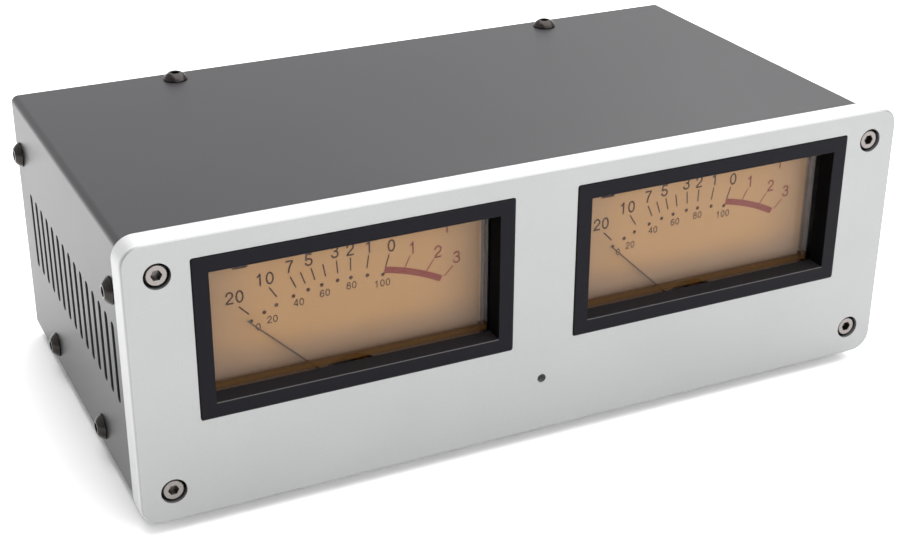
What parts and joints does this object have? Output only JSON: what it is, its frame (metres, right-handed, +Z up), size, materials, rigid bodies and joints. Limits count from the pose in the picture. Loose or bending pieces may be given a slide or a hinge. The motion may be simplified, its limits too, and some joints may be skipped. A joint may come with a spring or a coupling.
{
  "type": "analog level meter",
  "caption": "Desktop stereo level meter: two moving-coil dials behind a thick satin aluminium panel on a slotted black steel case, with sockets and controls at the rear.",
  "frame": {"origin": "middle of the footprint, on the surface that the feet stand on", "axes": "+X to the right as seen from the front, +Y to the rear, +Z up"},
  "size_m": [0.1782, 0.1156, 0.0636],
  "materials": {
    "bead_blasted_aluminium": "bead blasted, satin",
    "black_powder_coat": "fine satin powder coat",
    "nickel_screw": "satin nickel",
    "dark_screw": "dark nickel",
    "zinc": "bright zinc",
    "foot_rubber": "matt",
    "black_frame": "satin",
    "clear_window": "clear, polished",
    "dial_card": "matt printed",
    "meter_plastic": "moulded",
    "pointer_black": "matt lacquer",
    "copper_winding": "enamelled wire",
    "magnet": "ground",
    "brass": "turned",
    "spring_bronze": "polished",
    "tinned": "tinned",
    "white_board": "solder mask",
    "lamp_lens": "silicone",
    "capsule_aluminium": "drawn",
    "red_insulation": "soft",
    "white_insulation": "soft",
    "green_board": "solder mask",
    "capacitor_sleeve": "shrink sleeve",
    "chip_black": "moulded",
    "trimmer_blue": "moulded",
    "resistor_body": "lacquered",
    "black_socket": "moulded",
    "plated_sleeve": "nickel plated",
    "socket_colours": "one white, one red",
    "switch_body": "moulded, plated neck",
    "lever_chrome": "polished",
    "knob_black": "anodised look"
  },
  "bodies": {
    "housing": {"front_panel": "bead_blasted_aluminium", "panel_screws": "nickel_screw", "cover": "black_powder_coat", "cover_screws": "dark_screw", "chassis": "black_powder_coat", "clinch_nuts": "zinc", "feet": "foot_rubber", "foot_screws": "zinc", "bezel_left": "black_frame", "bezel_right": "black_frame", "window_left": "clear_window", "window_right": "clear_window", "dial_left": "dial_card", "dial_right": "dial_card", "meter_case_left": "meter_plastic", "meter_case_right": "meter_plastic", "magnet_cores": "magnet", "core_holders": "brass", "yokes": "magnet", "pivot_bridges": "brass", "jewel_screws": "brass", "hairsprings": "spring_bronze", "movement_screws": "nickel_screw", "terminal_studs": "brass", "terminal_nuts": "brass", "solder_lugs": "tinned", "lamp_boards": "white_board", "lamps": "lamp_lens", "meter_clips": "zinc", "clip_screws": "zinc", "microphone": "capsule_aluminium", "microphone_grommet": "foot_rubber", "microphone_leads": "white_insulation", "meter_leads_left": "red_insulation", "meter_leads_right": "red_insulation", "driver_board": "green_board", "board_standoffs": "brass", "board_screws": "zinc", "capacitors": "capacitor_sleeve", "amplifier_chips": "chip_black", "voltage_regulator": "chip_black", "trimmers": "trimmer_blue", "resistors": "resistor_body", "phono_housing": "black_socket", "phono_sleeves": "plated_sleeve", "phono_inserts": "socket_colours", "power_socket": "black_socket", "power_switch": "switch_body", "input_switch": "switch_body", "rear_nuts": "zinc", "level_control": "switch_body"},
    "pointer_left": {"pointer_left": "pointer_black", "coil_left": "copper_winding"},
    "pointer_right": {"pointer_right": "pointer_black", "coil_right": "copper_winding"},
    "power_lever": {"power_lever": "lever_chrome"},
    "input_lever": {"input_lever": "lever_chrome"},
    "level": {"level_shaft": "lever_chrome", "level_knob": "knob_black"}
  },
  "joints": [
    {"name": "needle_left", "type": "hinge", "parent": "housing", "child": "pointer_left", "pos_m": [-0.04082, -0.0508, 0.01865], "axis": [0, 1, 0], "range_deg": [0, 91], "stiffness_Nm_per_rad": 0.000002},
    {"name": "needle_right", "type": "hinge", "parent": "housing", "child": "pointer_right", "pos_m": [0.04202, -0.0508, 0.01865], "axis": [0, 1, 0], "range_deg": [0, 91], "stiffness_Nm_per_rad": 0.000002},
    {"name": "power_toggle", "type": "hinge", "parent": "housing", "child": "power_lever", "pos_m": [0.03, 0.04235, 0.02], "axis": [1, 0, 0], "range_deg": [0, 25]},
    {"name": "input_toggle", "type": "hinge", "parent": "housing", "child": "input_lever", "pos_m": [0.012, 0.04235, 0.02], "axis": [1, 0, 0], "range_deg": [0, 25]},
    {"name": "level_turn", "type": "hinge", "parent": "housing", "child": "level", "pos_m": [-0.01, 0.04585, 0.02], "axis": [0, 1, 0], "range_deg": [-150, 150]}
  ]
}
